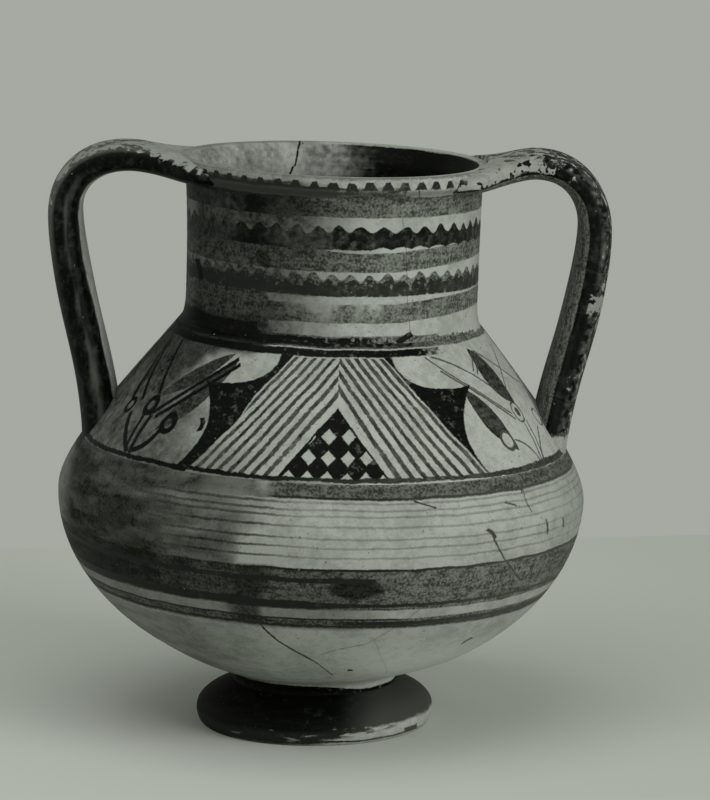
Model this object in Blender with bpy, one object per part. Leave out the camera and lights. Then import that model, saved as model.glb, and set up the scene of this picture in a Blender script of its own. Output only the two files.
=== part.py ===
"""Two-handled krater of fired clay: a round bowl on a low hollow foot, a wide
neck, a squared lip, and two strap handles that rise from the lip, turn over and
come down on the shoulder.

Metres, +Z up. The mouth leans to +X, as the bowl was joined askew. The resting
ring lies on Z = 0, and the origin is under the middle of the two handles.
"""

import math

import bmesh
import bpy
import numpy as np
from mathutils import Vector
from mathutils.geometry import interpolate_bezier

# Foot: a low flaring ring, hollow underneath
FOOT_HEIGHT = 0.0215
FOOT_RADIUS = 0.0594
FOOT_EDGE_HEIGHT = 0.0070
FOOT_EDGE_UNDERCUT = 0.0028
FOOT_REST_WIDTH = 0.0085
FOOT_HOLLOW_DEPTH = 0.0120
STEM_RADIUS = 0.0412

# Bowl: from its tip, just over the foot, out to its widest circle
BOWL_TIP_RISE = 0.0005
BOWL_DEPTH = 0.0945
BELLY_RADIUS = 0.1306
BOWL_FULLNESS = 1.96
WALL = 0.0060

# Shoulder: joined to the bowl a little above the widest circle
SEAM_RISE = 0.0260
SHOULDER_HEIGHT = 0.0855
SHOULDER_BULGE = 0.0160
SHOULDER_RUN = 0.0320
SHOULDER_DROP = 0.0394

# Neck and lip
NECK_HEIGHT = 0.0680
NECK_RADIUS = 0.0720
NECK_BEND = 0.0022
NECK_BEND_HEIGHT = 0.0120
NECK_FLARE = 0.0010
LIP_HEIGHT = 0.0120
LIP_BAND_HEIGHT = 0.0062
LIP_OVERHANG = 0.0043
LIP_WIDTH = 0.0059

# Handles: wide straps, the left one lower and reaching out a little further
LEFT_HANDLE_RISE = 0.0048
RIGHT_HANDLE_RISE = 0.0076
LEFT_HANDLE_REACH = 0.0681
RIGHT_HANDLE_REACH = 0.0647
HANDLE_CREST_REACH = 0.0260
HANDLE_ELBOW_DROP = 0.0305
HANDLE_FOOT_RISE = 0.0015
HANDLE_WIDTH = 0.0460
HANDLE_THICKNESS = 0.0188
HANDLE_TOP_THICKNESS = 0.0130
THICKENING = 1.5  # where the full thickness is reached, as a share of the way to the elbow
HANDLE_EDGE_FULLNESS = 2.8
RIM_SPLAY = 0.0260
RIM_SPLAY_LENGTH = 0.0140
SHOULDER_SPLAY = 0.0050
SHOULDER_SPLAY_LENGTH = 0.0120

# The right handle's two breaks, as shares of the way down from its elbow
UPPER_BREAK_SHARE = 0.160
LOWER_BREAK_SHARE = 0.760

# How the pot was set on its foot: its axis leans and bows to +X, and its circles tilt
MOUTH_DRIFT = 0.0103
AXIS_BOW = 0.0011
MOUTH_TILT = math.radians(2.1)
TILT_EASE_HEIGHT = 0.0230
FOOT_PLACE_X = -0.0082

# Seams between pieces, and the fineness of the turned surfaces
SEAM_GAP = 0.0003
TURN_STEPS = 64
STRAP_SIDES = 18

# Heights and radii that follow from the sizes above
BOWL_TIP_HEIGHT = FOOT_HEIGHT + BOWL_TIP_RISE
BELLY_HEIGHT = BOWL_TIP_HEIGHT + BOWL_DEPTH
SHOULDER_SEAM_HEIGHT = BELLY_HEIGHT + SEAM_RISE
NECK_BASE_HEIGHT = BELLY_HEIGHT + SHOULDER_HEIGHT
RIM_SEAM_HEIGHT = NECK_BASE_HEIGHT + NECK_HEIGHT
RIM_HEIGHT = RIM_SEAM_HEIGHT + LIP_HEIGHT
NECK_BASE_RADIUS = NECK_RADIUS + NECK_BEND
NECK_TOP_RADIUS = NECK_RADIUS + NECK_FLARE
RIM_RADIUS = NECK_TOP_RADIUS + LIP_OVERHANG
MOUTH_RADIUS = RIM_RADIUS - LIP_WIDTH
HANDLE_ELBOW_HEIGHT = RIM_HEIGHT - HANDLE_ELBOW_DROP
HANDLE_FOOT_HEIGHT = SHOULDER_SEAM_HEIGHT + HANDLE_FOOT_RISE

# Fired clay under dark paint, from shaded to pale: colour and roughness
CLAY_TONES = {
    "foot": ((0.020, 0.021, 0.017), 0.45),
    "belly": ((0.150, 0.155, 0.140), 0.62),
    "shoulder": ((0.330, 0.345, 0.315), 0.60),
    "neck": ((0.240, 0.250, 0.228), 0.60),
    "rim": ((0.360, 0.375, 0.345), 0.62),
    "handle": ((0.026, 0.028, 0.022), 0.48),
}


def clear_scene():
    for scene_object in list(bpy.data.objects):
        bpy.data.objects.remove(scene_object, do_unlink=True)


def clay(tone):
    colour, roughness = CLAY_TONES[tone]
    material = bpy.data.materials.new(tone + "_clay")
    material.use_nodes = True
    shader = material.node_tree.nodes["Principled BSDF"]
    shader.inputs["Base Color"].default_value = (*colour, 1.0)
    shader.inputs["Roughness"].default_value = roughness
    shader.inputs["Metallic"].default_value = 0.0
    return material


def bezier(start, start_handle, end_handle, end, count):
    """Points along one Bezier stretch in (radius, height), both ends included."""
    corners = [Vector((*corner, 0.0)) for corner in (start, start_handle, end_handle, end)]
    return [(point.x, point.y) for point in interpolate_bezier(*corners, count)]


def bowl_curve(radius, depth, count):
    """The bowl's side, from its tip on the axis out and up to its widest circle."""
    power = 2.0 / BOWL_FULLNESS
    angles = [math.pi / 2 * step / (count - 1) for step in range(count)]
    return [
        (radius * abs(math.sin(angle)) ** power, BELLY_HEIGHT - depth * abs(math.cos(angle)) ** power)
        for angle in angles
    ]


def upper_curve():
    """The outside from the widest circle over the shoulder and up the neck to the lip."""
    widest = (BELLY_RADIUS, BELLY_HEIGHT)
    neck_foot = (NECK_BASE_RADIUS, NECK_BASE_HEIGHT)
    shoulder = bezier(
        widest,
        (BELLY_RADIUS, BELLY_HEIGHT + SHOULDER_BULGE),
        (NECK_BASE_RADIUS + SHOULDER_RUN, NECK_BASE_HEIGHT - SHOULDER_DROP),
        neck_foot,
        10,
    )
    neck_turn = (NECK_RADIUS, NECK_BASE_HEIGHT + NECK_BEND_HEIGHT)
    bend = bezier(
        neck_foot,
        (NECK_BASE_RADIUS - NECK_BEND * 0.6, NECK_BASE_HEIGHT + NECK_BEND * 0.6 * SHOULDER_DROP / SHOULDER_RUN),
        (NECK_RADIUS, NECK_BASE_HEIGHT + NECK_BEND_HEIGHT / 2),
        neck_turn,
        4,
    )
    neck_top = (NECK_TOP_RADIUS, RIM_SEAM_HEIGHT)
    third = (RIM_SEAM_HEIGHT - neck_turn[1]) / 3
    neck = bezier(
        neck_turn,
        (NECK_RADIUS, neck_turn[1] + third),
        (NECK_RADIUS, neck_turn[1] + 2 * third),
        neck_top,
        5,
    )
    return shoulder + bend[1:] + neck[1:]


def inset(chain, distance):
    """The same outline moved inwards, square to itself."""
    points = np.array(chain)
    run = np.gradient(points, axis=0)
    run /= np.linalg.norm(run, axis=1)[:, None]
    inward = np.column_stack((-run[:, 1], run[:, 0]))
    return [tuple(point) for point in points + inward * distance]


def stretch(chain, low, high):
    """The part of an outline between two heights, with a point put in at each."""
    heights = [height for radius, height in chain]
    radii = [radius for radius, height in chain]
    inside = [point for point in chain if low + SEAM_GAP < point[1] < high - SEAM_GAP]
    first = (float(np.interp(low, heights, radii)), low)
    last = (float(np.interp(high, heights, radii)), high)
    return [first] + inside + [last]


def outer_wall():
    bowl = bowl_curve(BELLY_RADIUS, BELLY_HEIGHT - BOWL_TIP_HEIGHT, 15)
    stem = [(STEM_RADIUS, BOWL_TIP_HEIGHT - WALL)]
    sides = [point for point in bowl if point[0] > STEM_RADIUS + WALL / 2]
    return stem + [(STEM_RADIUS, BOWL_TIP_HEIGHT + WALL / 2)] + sides + upper_curve()[1:]


def inner_wall():
    bowl = bowl_curve(BELLY_RADIUS - WALL, BELLY_HEIGHT - BOWL_TIP_HEIGHT - WALL, 10)
    return bowl + inset(upper_curve(), WALL)[1:]


def lip_outline():
    """The lip's section above its seam: up inside the mouth, over and down the band."""
    inner_foot = (NECK_TOP_RADIUS - WALL, RIM_SEAM_HEIGHT)
    mouth = (MOUTH_RADIUS, RIM_HEIGHT - SEAM_GAP)
    rise = RIM_HEIGHT - RIM_SEAM_HEIGHT
    corner = (RIM_RADIUS - MOUTH_RADIUS) / 4
    band_top = RIM_HEIGHT - corner
    band_foot = RIM_HEIGHT - LIP_BAND_HEIGHT
    flare = bezier(
        inner_foot,
        (inner_foot[0], RIM_SEAM_HEIGHT + rise / 2),
        (MOUTH_RADIUS - corner / 2, RIM_HEIGHT - rise / 4),
        mouth,
        5,
    )
    shoulder = bezier(
        (RIM_RADIUS - corner, RIM_HEIGHT),
        (RIM_RADIUS - corner / 3, RIM_HEIGHT),
        (RIM_RADIUS, RIM_HEIGHT - corner / 3),
        (RIM_RADIUS, band_top),
        4,
    )
    under = bezier(
        (RIM_RADIUS, band_foot),
        (RIM_RADIUS, band_foot - corner),
        (NECK_TOP_RADIUS, RIM_SEAM_HEIGHT + rise / 4),
        (NECK_TOP_RADIUS, RIM_SEAM_HEIGHT),
        5,
    )
    return flare + shoulder + under


def foot_outline():
    """The foot's section from the axis at the top, out, down and in under the hollow."""
    widest = (FOOT_RADIUS, FOOT_EDGE_HEIGHT)
    rest_outer = (FOOT_RADIUS - FOOT_EDGE_UNDERCUT, 0.0)
    rest_inner = (rest_outer[0] - FOOT_REST_WIDTH, 0.0)
    step = FOOT_RADIUS - STEM_RADIUS
    drop = FOOT_HEIGHT - FOOT_EDGE_HEIGHT
    slope = bezier(
        (STEM_RADIUS, FOOT_HEIGHT),
        (STEM_RADIUS + step * 0.45, FOOT_HEIGHT - drop * 0.22),
        (FOOT_RADIUS, FOOT_EDGE_HEIGHT + drop * 0.55),
        widest,
        8,
    )
    edge = bezier(
        widest,
        (FOOT_RADIUS, FOOT_EDGE_HEIGHT / 2),
        (rest_outer[0] + FOOT_EDGE_UNDERCUT / 2, FOOT_EDGE_HEIGHT / 8),
        rest_outer,
        4,
    )
    hollow = bezier(
        rest_inner,
        (rest_inner[0] * 0.80, FOOT_HOLLOW_DEPTH * 0.75),
        (rest_inner[0] * 0.50, FOOT_HOLLOW_DEPTH),
        (0.0, FOOT_HOLLOW_DEPTH),
        6,
    )
    return [(0.0, FOOT_HEIGHT)] + slope + edge[1:] + hollow


def settle(mesh):
    """Leans and tilts a mesh as the bowl was joined to its foot, and sets it on its place."""
    for vertex in mesh.verts:
        x, y, height = vertex.co
        share = height / RIM_HEIGHT
        drift = MOUTH_DRIFT * share - AXIS_BOW * math.sin(2 * math.pi * share)
        rise = min(max((height - FOOT_HEIGHT) / TILT_EASE_HEIGHT, 0.0), 1.0)
        tilt = MOUTH_TILT * rise * rise * (3 - 2 * rise)
        vertex.co = (x + drift + FOOT_PLACE_X, y, height - x * math.tan(tilt))


def finish(name, mesh, tone):
    """Settles a mesh, makes it an object of its own, and shades it smooth."""
    settle(mesh)
    bmesh.ops.recalc_face_normals(mesh, faces=mesh.faces)
    data = bpy.data.meshes.new(name)
    mesh.to_mesh(data)
    mesh.free()
    data.shade_smooth()
    data.set_sharp_from_angle(angle=math.radians(40))
    piece = bpy.data.objects.new(name, data)
    bpy.context.collection.objects.link(piece)
    piece.data.materials.append(clay(tone))
    return piece


def turned(name, outline, tone):
    """A solid turned about the axis from the outline of its section."""
    mesh = bmesh.new()
    corners = [mesh.verts.new((radius, 0.0, height)) for radius, height in outline]
    edges = [mesh.edges.new(pair) for pair in zip(corners, corners[1:])]
    on_axis = outline[0][0] == 0.0 and outline[-1][0] == 0.0
    if not on_axis:
        edges.append(mesh.edges.new((corners[-1], corners[0])))
    bmesh.ops.spin(
        mesh,
        geom=corners + edges,
        cent=(0.0, 0.0, 0.0),
        axis=(0.0, 0.0, 1.0),
        angle=2 * math.pi,
        steps=TURN_STEPS,
        use_merge=True,
    )
    bmesh.ops.remove_doubles(mesh, verts=mesh.verts, dist=0.00001)
    return finish(name, mesh, tone)


def wall_ring(name, low, high, tone):
    """One band of the wall, with half a seam's gap left at each end."""
    low += SEAM_GAP / 2
    high -= SEAM_GAP / 2
    outside = stretch(outer_wall(), low, high)
    inside = stretch(inner_wall(), low, high)
    return turned(name, outside + inside[::-1], tone)


def make_foot():
    return turned("foot", foot_outline(), "foot")


def make_belly():
    base = FOOT_HEIGHT + SEAM_GAP
    top = SHOULDER_SEAM_HEIGHT - SEAM_GAP / 2
    outside = stretch(outer_wall(), base, top)
    inside = stretch(inner_wall(), BOWL_TIP_HEIGHT + WALL, top)
    floor = [(0.0, BOWL_TIP_HEIGHT + WALL)]
    return turned("belly", [(0.0, base)] + outside + inside[:0:-1] + floor, "belly")


def make_rim():
    outline = [(radius, max(height, RIM_SEAM_HEIGHT + SEAM_GAP / 2)) for radius, height in lip_outline()]
    return turned("rim", outline, "rim")


def make_seat_cutter():
    """The pot's outside, a seam's gap larger, which shapes the ends of the straps."""
    lip = [point for point in lip_outline()[::-1] if point[0] > NECK_TOP_RADIUS]
    band_foot = RIM_HEIGHT - LIP_BAND_HEIGHT
    grown = inset(outer_wall()[1:] + lip, -SEAM_GAP)
    grown = [point for point in grown if point[1] < band_foot + SEAM_GAP]
    lip_side = RIM_RADIUS + SEAM_GAP
    above = RIM_HEIGHT + max(LEFT_HANDLE_RISE, RIGHT_HANDLE_RISE) + HANDLE_THICKNESS
    column = [(lip_side, band_foot), (lip_side, above), (0.0, above)]
    cutter = turned("seat_cutter", [(0.0, BOWL_TIP_HEIGHT)] + grown + column, "belly")
    cutter.hide_render = True
    cutter.display_type = "WIRE"
    return cutter


def outer_radius(height):
    """The pot's outer radius at a height."""
    outside = outer_wall()
    heights = [point[1] for point in outside]
    radii = [point[0] for point in outside]
    return float(np.interp(height, heights, radii))


def strap_path(reach, rise):
    """A handle's middle line in (radius, height), from inside the neck to the shoulder."""
    top = RIM_HEIGHT + rise - HANDLE_TOP_THICKNESS / 2
    out = NECK_TOP_RADIUS + reach - HANDLE_THICKNESS / 2
    root = (NECK_TOP_RADIUS - 3 * WALL, RIM_HEIGHT - HANDLE_TOP_THICKNESS / 2)
    crest = (NECK_TOP_RADIUS + HANDLE_CREST_REACH, top)
    elbow = (out, HANDLE_ELBOW_HEIGHT)
    end = (outer_radius(HANDLE_FOOT_HEIGHT) - HANDLE_THICKNESS / 2, HANDLE_FOOT_HEIGHT - 2 * WALL)
    over = out - crest[0]
    drop = top - HANDLE_ELBOW_HEIGHT
    fall = HANDLE_ELBOW_HEIGHT - end[1]
    lip_run = bezier(root, (NECK_TOP_RADIUS, root[1]), (crest[0] - over / 3, top), crest, 8)
    turn = bezier(crest, (crest[0] + over * 0.60, top), (out, elbow[1] + drop * 0.62), elbow, 9)
    leg = bezier(elbow, (out, elbow[1] - fall * 0.28), (end[0], end[1] + fall * 0.30), end, 12)
    return np.array(lip_run + turn[1:] + leg[1:])


def break_place(path, along, share):
    """How far along its path a handle broke, for a share of the way down its leg."""
    height = HANDLE_ELBOW_HEIGHT - share * (HANDLE_ELBOW_HEIGHT - HANDLE_FOOT_HEIGHT)
    elbow = int(np.argmin(abs(path[:, 1] - HANDLE_ELBOW_HEIGHT)))
    return float(np.interp(-height, -path[elbow:, 1], along[elbow:]))


def strap_section(place, elbow, length):
    """Half the width and half the thickness of a strap at a place along its path."""
    past_wall = max(place - 2 * WALL, 0.0)
    rim_splay = RIM_SPLAY * math.exp(-((past_wall / RIM_SPLAY_LENGTH) ** 2))
    foot_splay = SHOULDER_SPLAY * math.exp((place - length) / SHOULDER_SPLAY_LENGTH)
    share = min(place / (elbow * THICKENING), 1.0)
    growth = share * share * (3 - 2 * share)
    thickness = HANDLE_TOP_THICKNESS + (HANDLE_THICKNESS - HANDLE_TOP_THICKNESS) * growth
    return HANDLE_WIDTH / 2 + rim_splay + foot_splay, thickness / 2 + foot_splay / 3


def rounded_sides():
    """Points round a strap's section, as shares of its half width and half thickness."""
    power = 2.0 / HANDLE_EDGE_FULLNESS
    points = []
    for side in range(STRAP_SIDES):
        angle = 2 * math.pi * (side + 0.5) / STRAP_SIDES
        across = math.copysign(abs(math.cos(angle)) ** power, math.cos(angle))
        through = math.copysign(abs(math.sin(angle)) ** power, math.sin(angle))
        points.append((across, through))
    return points


def strap(name, side, shape, high=None, low=None):
    """A handle on the -X or +X side, or the length of one above or below its breaks."""
    path = strap_path(*shape)
    along = np.concatenate(([0.0], np.cumsum(np.linalg.norm(np.diff(path, axis=0), axis=1))))
    slopes = np.gradient(path, along, axis=0)
    elbow = float(along[np.argmin(abs(path[:, 1] - HANDLE_ELBOW_HEIGHT))])
    places = list(along)
    if high is not None:
        start = break_place(path, along, high) + SEAM_GAP / 2
        places = [start] + [place for place in places if place > start + SEAM_GAP]
    if low is not None:
        stop = break_place(path, along, low) - SEAM_GAP / 2
        places = [place for place in places if place < stop - SEAM_GAP] + [stop]
    mesh = bmesh.new()
    rings = []
    for place in places:
        radius, height = (float(np.interp(place, along, path[:, axis])) for axis in (0, 1))
        run = Vector([float(np.interp(place, along, slopes[:, axis])) for axis in (0, 1)])
        run.normalize()
        half_width, half_thick = strap_section(place, elbow, along[-1])
        ring = []
        for across, through in rounded_sides():
            x = radius - run.y * through * half_thick
            z = height + run.x * through * half_thick
            ring.append(mesh.verts.new((side * x, across * half_width, z)))
        rings.append(ring)
    for ring, following in zip(rings, rings[1:]):
        for corner in range(STRAP_SIDES):
            beside = (corner + 1) % STRAP_SIDES
            mesh.faces.new((ring[corner], ring[beside], following[beside], following[corner]))
    mesh.faces.new(rings[0])
    mesh.faces.new(rings[-1])
    return finish(name, mesh, "handle")


def seat(piece, cutter):
    """Cuts a strap's end to the pot's outside, so that it lies on it."""
    cut = piece.modifiers.new("seat", "BOOLEAN")
    cut.operation = "DIFFERENCE"
    cut.object = cutter


def make_handles():
    cutter = make_seat_cutter()
    left = (LEFT_HANDLE_REACH, LEFT_HANDLE_RISE)
    right = (RIGHT_HANDLE_REACH, RIGHT_HANDLE_RISE)
    seat(strap("handle_left", -1, left), cutter)
    seat(strap("handle_right_top", 1, right, low=UPPER_BREAK_SHARE), cutter)
    strap("handle_right_leg", 1, right, high=UPPER_BREAK_SHARE, low=LOWER_BREAK_SHARE)
    seat(strap("handle_right_root", 1, right, high=LOWER_BREAK_SHARE), cutter)


def main():
    clear_scene()
    make_foot()
    make_belly()
    wall_ring("shoulder", SHOULDER_SEAM_HEIGHT, NECK_BASE_HEIGHT, "shoulder")
    wall_ring("neck", NECK_BASE_HEIGHT, RIM_SEAM_HEIGHT, "neck")
    make_rim()
    make_handles()


main()
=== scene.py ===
import math

import bpy
import numpy as np
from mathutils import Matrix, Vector


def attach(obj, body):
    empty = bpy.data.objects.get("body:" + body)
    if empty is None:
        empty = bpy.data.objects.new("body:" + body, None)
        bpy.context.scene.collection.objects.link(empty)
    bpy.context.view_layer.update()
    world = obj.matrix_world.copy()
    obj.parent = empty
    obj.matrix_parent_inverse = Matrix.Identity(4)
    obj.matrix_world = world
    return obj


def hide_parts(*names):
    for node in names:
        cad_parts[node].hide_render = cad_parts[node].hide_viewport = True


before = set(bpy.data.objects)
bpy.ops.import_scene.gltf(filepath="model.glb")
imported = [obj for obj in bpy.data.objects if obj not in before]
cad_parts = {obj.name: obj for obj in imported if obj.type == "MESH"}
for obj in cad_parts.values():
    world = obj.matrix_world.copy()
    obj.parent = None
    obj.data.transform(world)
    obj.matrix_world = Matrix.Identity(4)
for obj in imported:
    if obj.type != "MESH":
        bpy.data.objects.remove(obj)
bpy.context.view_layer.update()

# The foot: a low disc with a flaring side, a rounded edge and a shallow hollow beneath.
# Buff clay under one coat of dark slip, turned apart and luted to the bowl while both were
# soft. Its standing edge is worn back to the clay.

# Sizes and places are millimetres on the upright pot, which settled() then leans.
AXES = ((1, 0, 0), (0, 1, 0), (0, 0, 1))
RIM_HEIGHT = 282.0
MOUTH_DRIFT = 10.3
AXIS_BOW = 1.1
MOUTH_TILT = math.radians(2.1)
TILT_EASE = 23.0
FOOT_PLACE = -8.2
ROUND_STEPS = 720
CREASE = math.radians(50)
POLE = 0.01
FOOT_HEIGHT = 21.5
FOOT_RADIUS = 59.4
FOOT_EDGE_HEIGHT = 7.0
FOOT_HOLLOW = 12.0
RING_OUTSIDE = 56.6
RING_INSIDE = 48.1
STEM_RADIUS = 41.2
FOOT_TOP = ((0.0, FOOT_HEIGHT), (30.0, FOOT_HEIGHT))


def bezier(start, start_handle, end_handle, end, count):
    """Points of one Bezier stretch: the four corners weighted by the cubic Bernstein shares."""
    t = np.linspace(0, 1, count)[:, None]
    corners = [np.array(corner, float) for corner in (start, start_handle, end_handle, end)]
    shares = ((1 - t) ** 3, 3 * t * (1 - t) ** 2, 3 * t**2 * (1 - t), t**3)
    return sum(share * corner for share, corner in zip(shares, corners))


def settled(upright):
    """Each point slides along x by its height's share of the mouth's drift, less a small sine,
    and drops by its x times the tangent of a tilt that eases in just above the foot."""
    x, y, height = upright.T
    share = height / RIM_HEIGHT
    rise = np.clip((height - FOOT_HEIGHT) / TILT_EASE, 0, 1)
    tilt = MOUTH_TILT * rise**2 * (3 - 2 * rise)
    drift = MOUTH_DRIFT * share - AXIS_BOW * np.sin(2 * np.pi * share)
    return np.column_stack((x + drift + FOOT_PLACE, y, height - x * np.tan(tilt))) / 1000


def thrown(turn, height):
    """How far the wall stands off a true circle: slow waves round and up it, and the fine
    rings of the fingers, always inwards by up to half a millimetre."""
    slow = np.sin(2 * turn + height / 60 + 0.8) + 0.6 * np.sin(3 * turn - height / 45 + 2.1)
    lumps = 0.3 * np.sin(7 * turn + height / 17) + 0.2 * np.sin(11 * turn - height / 11 + 1)
    rings = np.sin(height / 0.9 + 2 * np.sin(height / 7) + 0.7 * np.sin(turn))
    return 0.11 * (slow + lumps - 2.1) + 0.035 * (rings - 1)


def loops(rows, columns, closed):
    """Quads of a grid whose last column meets its first, and last row its first if closed."""
    upper = np.arange(rows if closed else rows - 1)[:, None]
    left = np.arange(columns)[None, :]
    lower, right = (upper + 1) % rows, (left + 1) % columns
    corners = (upper * columns + left, upper * columns + right)
    corners += (lower * columns + right, lower * columns + left)
    return np.stack(corners, axis=-1).reshape(-1, 4)


def fan(ring, middle):
    """Triangles from each pair of neighbours on a ring of corners to a middle corner."""
    return np.column_stack((ring, np.roll(ring, -1), np.full(len(ring), middle)))


def placed(name, data):
    """A new object that holds the data, put into the scene."""
    made = bpy.data.objects.new(name, data)
    bpy.context.collection.objects.link(made)
    return made


def piece(name, upright, quads, fans, marks, material, slot, *nodes):
    """One closed mesh from corners in upright millimetres, settled onto its place, turned
    right side out by the sign of its volume, and carrying the marks its finish reads."""
    corners = settled(upright)
    triangles = np.concatenate([quads[:, :3], quads[:, [0, 2, 3]], *fans])
    a, b, c = (corners[triangles[:, corner]] for corner in range(3))
    faces = quads.tolist() + [face for group in fans for face in group.tolist()]
    if np.sum(a * np.cross(b, c)) < 0:
        faces = [face[::-1] for face in faces]
    mesh = bpy.data.meshes.new(name)
    mesh.from_pydata(corners.tolist(), [], faces)
    mesh.shade_smooth()
    mesh.set_sharp_from_angle(angle=CREASE)
    for mark, values in {"upright": upright, **marks}.items():
        kind, field = ("FLOAT_VECTOR", "vector") if values.ndim == 2 else ("FLOAT", "value")
        mesh.attributes.new(mark, kind, "POINT").data.foreach_set(field, values.ravel())
    mesh.materials.append(material)
    made = placed(name, mesh)
    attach(made, "root")
    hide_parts(*nodes)


def turned(name, outside, inside, material, slot, node, wear=None):
    """An outline of (radius, height) carried round the axis: a corner at angle a lies at
    (r sin a, -r cos a, h), where r takes the thrown wall's unevenness and any wear."""
    outline = np.concatenate((outside, inside))
    inner = np.concatenate((np.zeros(len(outside)), np.ones(len(inside))))
    on_axis = outline[:, 0] < POLE
    poles, inner = outline[on_axis], inner[~on_axis]
    radius, height = (np.repeat(values[:, None], ROUND_STEPS, axis=1) for values in outline[~on_axis].T)
    turn = np.broadcast_to(np.linspace(0, 2 * np.pi, ROUND_STEPS, endpoint=False), radius.shape)
    radius = radius + thrown(turn, height)
    if wear is not None:
        radius, height = wear(turn, radius, height)
    upright = np.stack((radius * np.sin(turn), -radius * np.cos(turn), height), axis=-1)
    upright = upright.reshape(-1, 3)
    rows = len(inner)
    quads = loops(rows, ROUND_STEPS, closed=len(poles) == 0)
    fans = []
    for end in range(len(poles)):
        ring = np.arange(ROUND_STEPS) + (rows - 1) * ROUND_STEPS * end
        fans.append(fan(ring if end else ring[::-1], len(upright) + end))
    inner = np.concatenate((np.repeat(inner, ROUND_STEPS), inner[[0, -1]][: len(poles)]))
    upright = np.concatenate((upright, poles[:, [0, 0, 1]]))
    piece(name, upright, quads, fans, {"inner": inner}, material, slot, node)


def math_node(operation, reflected=False):
    """A method that adds one Math node on a value and the other terms, if it takes any."""

    def work(value, *others):
        terms = (value, *others)[:: -1 if reflected else 1]
        return value.node("Math", {"operation": operation}, dict(enumerate(terms)))

    return work


class Slip:
    """A value on its way through a finish: arithmetic on it adds Math nodes. Of two marks,
    most() joins both into one, and least() keeps only what lies in both."""

    def __init__(self, tree, socket=None):
        self.tree = tree
        self.socket = socket

    def node(self, kind, settings, sockets, outlet=0):
        """Adds a node of a kind, makes its settings, fills or links its sockets."""
        made = self.tree.nodes.new("ShaderNode" + kind)
        for setting, value in settings.items():
            setattr(made, setting, value)
        for inlet, value in sockets.items():
            if isinstance(value, Slip):
                self.tree.links.new(value.socket, made.inputs[inlet])
            else:
                made.inputs[inlet].default_value = value
        return Slip(self.tree, made.outputs[outlet])

    __add__ = __radd__ = math_node("ADD")
    __sub__ = math_node("SUBTRACT")
    __rsub__ = math_node("SUBTRACT", reflected=True)
    __mul__ = __rmul__ = math_node("MULTIPLY")
    __truediv__ = math_node("DIVIDE")
    __rtruediv__ = math_node("DIVIDE", reflected=True)
    __pow__ = math_node("POWER")
    __abs__ = math_node("ABSOLUTE")
    __lt__ = math_node("LESS_THAN")
    __gt__ = math_node("GREATER_THAN")
    most = math_node("MAXIMUM")
    least = math_node("MINIMUM")
    sign = math_node("SIGN")
    fract = math_node("FRACT")
    sine = math_node("SINE")
    cosine = math_node("COSINE")
    arctangent = math_node("ARCTANGENT")

    def __neg__(self):
        return self * -1.0

    def within(self, low, high):
        """How deep this value lies inside a band, in the value's own measure."""
        return (self - low).least(high - self)

    def near(self, middle, half):
        """How deep this value lies inside a line of that half width about its middle."""
        return half - abs(self - middle)

    def off_nearest(self, middle, spacing):
        """How far this value is from the nearest of evenly spaced middles, as a share."""
        return abs(((self - middle) / spacing + 0.5).fract() - 0.5)

    def ease(self, low, high):
        """0 below low, 1 above high, and a smooth step between."""
        return self.node("MapRange", {"interpolation_type": "SMOOTHSTEP"}, {0: self, 1: low, 2: high})

    def rise(self, length):
        """0 up to 0, 1 from the length on, and a smooth step between."""
        return self.ease(0.0, length)

    def dot(self, weights):
        """The sum of this vector's three parts, each times its weight."""
        return self.node("VectorMath", {"operation": "DOT_PRODUCT"}, {0: self, 1: weights}, "Value")

    def moved(self, amount, wander):
        """This place, moved by up to half the amount each way along a colour that wanders."""
        centred = self.node("VectorMath", {"operation": "SUBTRACT"}, {0: wander, 1: (0.5, 0.5, 0.5)})
        settings = {"operation": "MULTIPLY_ADD"}
        return self.node("VectorMath", settings, {0: centred, 1: (amount, amount, amount), 2: self})

    def noise(self, size, detail=2.0, stretch=(1.0, 1.0, 1.0), outlet="Fac"):
        """Soft noise at this place, its features about size millimetres across."""
        scale = tuple(part / size for part in stretch)
        place = self.node("VectorMath", {"operation": "MULTIPLY"}, {0: self, 1: scale})
        return self.node("TexNoise", {}, {"Vector": place, "Scale": 1.0, "Detail": detail}, outlet)

    def swing(self, *settings):
        """The same noise, spread from about -1 to 1."""
        return (self.noise(*settings) - 0.5) * 2

    def tint(self, first, second):
        """The first colour where this is 0 and the second where it is 1."""
        return self.node("Mix", {"data_type": "RGBA"}, {0: self, 6: first, 7: second}, 2)


def tone(grey):
    """A grey from 0 to 255, with the faint green of the clay in this light, as linear colour."""
    shares = (max(grey - 4, 2) / 255, grey / 255, max(grey - 7, 2) / 255)
    return (*(share**2.2 for share in shares), 1.0)


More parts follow.
